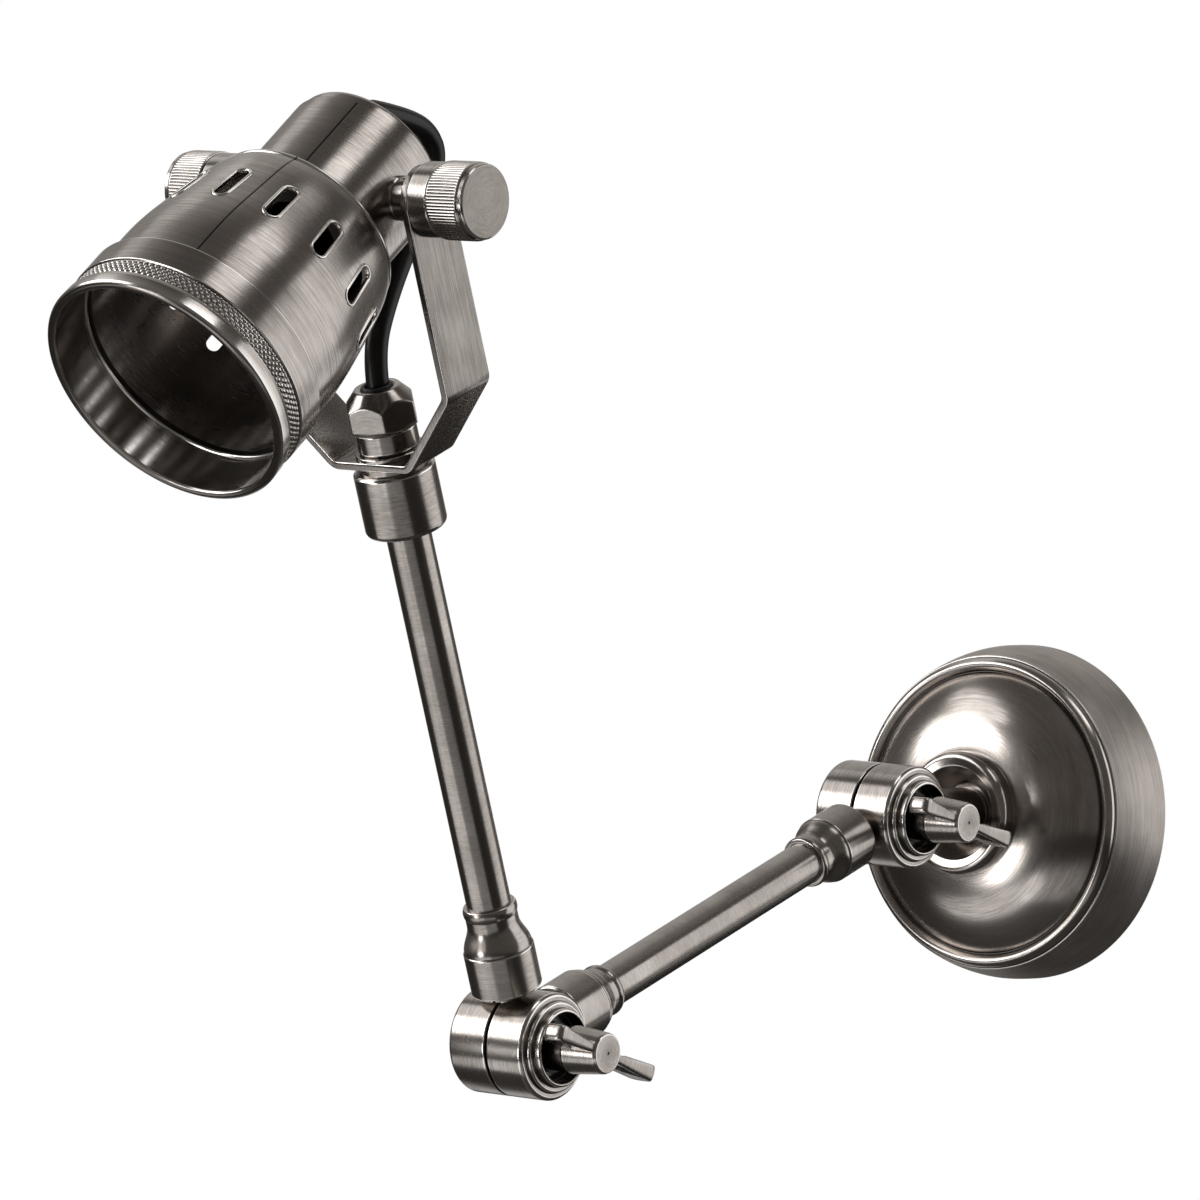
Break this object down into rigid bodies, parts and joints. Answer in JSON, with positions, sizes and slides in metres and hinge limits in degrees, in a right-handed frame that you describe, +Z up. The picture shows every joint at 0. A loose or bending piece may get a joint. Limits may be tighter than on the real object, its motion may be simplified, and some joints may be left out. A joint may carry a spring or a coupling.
{
  "type": "articulating wall lamp",
  "caption": "Wall lamp with a round canopy, two arms on wing-nut knuckles, and a yoke-held vented metal shade with a screwed front ring.",
  "frame": {"origin": "centre of the canopy's back face, in the wall's plane", "axes": "+Y into the wall, -Y out along the stem, +Z up, X along the knuckles' hinges"},
  "size_m": [0.1334, 0.5371, 0.3465],
  "materials": {
    "brushed_nickel": "brushed, antique nickel, waxed",
    "shade_metal": "brushed around the axis",
    "ring_metal": "satin, with a knurled band",
    "canopy_metal": "spun, brushed in circles",
    "arm_metal": "satin",
    "yoke_metal": "brushed lengthwise",
    "dark_metal": "darkened",
    "plain_steel": "zinc plated",
    "brass": "plain",
    "ceramic": "glazed",
    "black_rubber": "matt",
    "cable_sheath": "smooth sheath with a soft sheen"
  },
  "bodies": {
    "wall": {"canopy_shell": "canopy_metal", "crossbar": "plain_steel", "ground_screw": "brass", "wall_nipple": "plain_steel", "canopy_locknut": "plain_steel", "hub_flange": "canopy_metal"},
    "stem": {"wall_stem": "arm_metal", "wall_knuckle_near": "brushed_nickel", "wall_nut_washer": "brushed_nickel"},
    "wall_nut": {"wall_wing_nut": "brushed_nickel"},
    "lower_arm": {"wall_knuckle_far": "brushed_nickel", "wall_pivot_bolt": "brushed_nickel", "wall_friction_washer": "dark_metal", "lower_collar_wall": "arm_metal", "lower_tube": "arm_metal", "lower_collar_elbow": "arm_metal", "elbow_knuckle_near": "brushed_nickel", "elbow_nut_washer": "brushed_nickel"},
    "elbow_nut": {"elbow_wing_nut": "brushed_nickel"},
    "upper_arm": {"elbow_knuckle_far": "brushed_nickel", "elbow_pivot_bolt": "brushed_nickel", "elbow_friction_washer": "dark_metal", "upper_collar": "arm_metal", "upper_tube": "arm_metal", "top_coupling": "arm_metal", "swivel_washer": "brushed_nickel"},
    "yoke": {"yoke_strap": "yoke_metal", "hollow_thread": "plain_steel", "gland_washer": "brushed_nickel", "gland_body": "brushed_nickel", "gland_nut": "brushed_nickel", "gland_grommet": "black_rubber", "supply_cable": "cable_sheath"},
    "head": {"shade_body": "shade_metal", "retaining_ring": "dark_metal", "socket_cup": "shade_metal", "rear_cap": "shade_metal", "cable_bushing": "black_rubber", "lampholder": "ceramic", "lampholder_stud": "plain_steel", "screw_shell": "brass", "contact_tab": "brass", "left_boss": "brushed_nickel", "right_boss": "brushed_nickel"},
    "ring": {"front_ring": "ring_metal"},
    "left_screw": {"left_thumb_screw": "brushed_nickel"},
    "right_screw": {"right_thumb_screw": "brushed_nickel"}
  },
  "joints": [
    {"name": "wall_swivel", "type": "hinge", "parent": "wall", "child": "stem", "pos_m": [0, 0, 0], "axis": [0, -1, 0], "range_deg": [-90, 90]},
    {"name": "wall_tilt", "type": "hinge", "parent": "stem", "child": "lower_arm", "pos_m": [0, -0.0936, 0], "axis": [1, 0, 0], "range_deg": [-40, 65]},
    {"name": "wall_nut_turn", "type": "hinge", "parent": "lower_arm", "child": "wall_nut", "pos_m": [0, -0.0936, 0], "axis": [1, 0, 0], "range_deg": [0, 180]},
    {"name": "elbow_tilt", "type": "hinge", "parent": "lower_arm", "child": "upper_arm", "pos_m": [0, -0.30057, -0.07862], "axis": [1, 0, 0], "range_deg": [-25, 85]},
    {"name": "elbow_nut_turn", "type": "hinge", "parent": "upper_arm", "child": "elbow_nut", "pos_m": [0, -0.30057, -0.07862], "axis": [1, 0, 0], "range_deg": [0, 180]},
    {"name": "yoke_swivel", "type": "hinge", "parent": "upper_arm", "child": "yoke", "pos_m": [0, -0.38787, 0.12506], "axis": [0, -0.3939, 0.9191], "range_deg": [-90, 90]},
    {"name": "head_tilt", "type": "hinge", "parent": "yoke", "child": "head", "pos_m": [0, -0.42592, 0.21385], "axis": [1, 0, 0], "range_deg": [-65, 25], "deforming": ["supply_cable"]},
    {"name": "ring_turn", "type": "hinge", "parent": "head", "child": "ring", "pos_m": [0, -0.49848, 0.15253], "axis": [0, -0.7638, -0.6455], "range_deg": [0, 90]},
    {"name": "left_screw_turn", "type": "hinge", "parent": "head", "child": "left_screw", "pos_m": [-0.055, -0.42592, 0.21385], "axis": [-1, 0, 0], "range_deg": [0, 180]},
    {"name": "right_screw_turn", "type": "hinge", "parent": "head", "child": "right_screw", "pos_m": [0.055, -0.42592, 0.21385], "axis": [1, 0, 0], "range_deg": [0, 180]}
  ]
}
